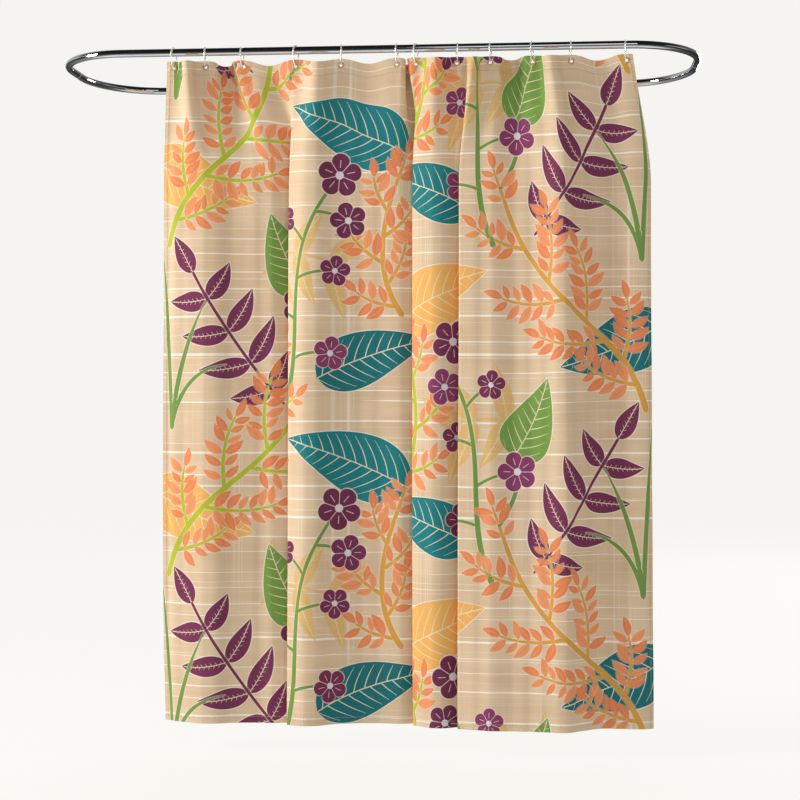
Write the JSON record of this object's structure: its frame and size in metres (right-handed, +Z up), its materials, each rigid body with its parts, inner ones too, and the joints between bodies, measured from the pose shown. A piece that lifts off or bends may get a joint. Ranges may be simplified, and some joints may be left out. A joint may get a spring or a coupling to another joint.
{
  "type": "shower curtain",
  "caption": "Printed cloth shower curtain hung by open wire rings from an oval chromed hoop rail; the rings slide along the rail and the curtain swings under it.",
  "frame": {"origin": "centre of the rear tube run at its middle, where a stay holds the hoop up", "axes": "+X along the rail to the right as seen from the front, +Y to the rear, +Z up"},
  "size_m": [1.882, 0.6621, 1.9202],
  "materials": {
    "rail_chrome": "bright chromed steel tube",
    "ring_chrome": "bright chromed steel wire",
    "joint_steel": "zinc-plated steel",
    "printed_cloth": "plain-woven polyester, sand-coloured ground with a printed plant pattern",
    "cloth_backing": "the cloth's own turned-in layer, sand-coloured",
    "eyelet_thread": "close zigzag stitching in tan thread"
  },
  "bodies": {
    "rail": {"rail_front_half": "rail_chrome", "rail_rear_half": "rail_chrome", "rail_spigot_left": "joint_steel", "rail_spigot_right": "joint_steel", "grub_screw_left_front": "joint_steel", "grub_screw_left_rear": "joint_steel", "grub_screw_right_front": "joint_steel", "grub_screw_right_rear": "joint_steel"},
    "curtain": {"curtain_panel": "printed_cloth", "header_band": "cloth_backing", "bottom_hem": "cloth_backing", "side_hem_left": "cloth_backing", "side_hem_right": "cloth_backing", "ring_01": "ring_chrome", "eyelet_01": "eyelet_thread"},
    "hanger_02": {"ring_02": "ring_chrome", "eyelet_02": "eyelet_thread"},
    "hanger_03": {"ring_03": "ring_chrome", "eyelet_03": "eyelet_thread"},
    "hanger_04": {"ring_04": "ring_chrome", "eyelet_04": "eyelet_thread"},
    "hanger_05": {"ring_05": "ring_chrome", "eyelet_05": "eyelet_thread"},
    "hanger_06": {"ring_06": "ring_chrome", "eyelet_06": "eyelet_thread"},
    "hanger_07": {"ring_07": "ring_chrome", "eyelet_07": "eyelet_thread"},
    "hanger_08": {"ring_08": "ring_chrome", "eyelet_08": "eyelet_thread"},
    "hanger_09": {"ring_09": "ring_chrome", "eyelet_09": "eyelet_thread"},
    "hanger_10": {"ring_10": "ring_chrome", "eyelet_10": "eyelet_thread"},
    "hanger_11": {"ring_11": "ring_chrome", "eyelet_11": "eyelet_thread"},
    "hanger_12": {"ring_12": "ring_chrome", "eyelet_12": "eyelet_thread"}
  },
  "joints": [
    {"name": "curtain_swing", "type": "hinge", "parent": "rail", "child": "curtain", "pos_m": [0, -0.6, 0], "axis": [1, 0, 0], "range_deg": [-12, 12]},
    {"name": "draw", "type": "slide", "parent": "curtain", "child": "hanger_12", "axis": [-1, 0, 0], "range_m": [0, 0.818], "deforming": ["curtain_panel", "header_band", "bottom_hem", "side_hem_left", "side_hem_right"]},
    {"name": "ring_slide_02", "type": "slide", "parent": "curtain", "child": "hanger_02", "axis": [-1, 0, 0], "range_m": [0, 0.0581]},
    {"name": "ring_slide_03", "type": "slide", "parent": "curtain", "child": "hanger_03", "axis": [-1, 0, 0], "range_m": [0, 0.1266]},
    {"name": "ring_slide_04", "type": "slide", "parent": "curtain", "child": "hanger_04", "axis": [-1, 0, 0], "range_m": [0, 0.2252]},
    {"name": "ring_slide_05", "type": "slide", "parent": "curtain", "child": "hanger_05", "axis": [-1, 0, 0], "range_m": [0, 0.3077]},
    {"name": "ring_slide_06", "type": "slide", "parent": "curtain", "child": "hanger_06", "axis": [-1, 0, 0], "range_m": [0, 0.4089]},
    {"name": "ring_slide_07", "type": "slide", "parent": "curtain", "child": "hanger_07", "axis": [-1, 0, 0], "range_m": [0, 0.4434]},
    {"name": "ring_slide_08", "type": "slide", "parent": "curtain", "child": "hanger_08", "axis": [-1, 0, 0], "range_m": [0, 0.5177]},
    {"name": "ring_slide_09", "type": "slide", "parent": "curtain", "child": "hanger_09", "axis": [-1, 0, 0], "range_m": [0, 0.5778]},
    {"name": "ring_slide_10", "type": "slide", "parent": "curtain", "child": "hanger_10", "axis": [-1, 0, 0], "range_m": [0, 0.6521]},
    {"name": "ring_slide_11", "type": "slide", "parent": "curtain", "child": "hanger_11", "axis": [-1, 0, 0], "range_m": [0, 0.7206]}
  ],
  "couplings": [
    {"joint": "ring_slide_02", "follows": "draw", "ratio": 0.070423},
    {"joint": "ring_slide_03", "follows": "draw", "ratio": 0.15415},
    {"joint": "ring_slide_04", "follows": "draw", "ratio": 0.27465},
    {"joint": "ring_slide_05", "follows": "draw", "ratio": 0.37559},
    {"joint": "ring_slide_06", "follows": "draw", "ratio": 0.49922},
    {"joint": "ring_slide_07", "follows": "draw", "ratio": 0.54147},
    {"joint": "ring_slide_08", "follows": "draw", "ratio": 0.63224},
    {"joint": "ring_slide_09", "follows": "draw", "ratio": 0.70579},
    {"joint": "ring_slide_10", "follows": "draw", "ratio": 0.79656},
    {"joint": "ring_slide_11", "follows": "draw", "ratio": 0.88028}
  ]
}
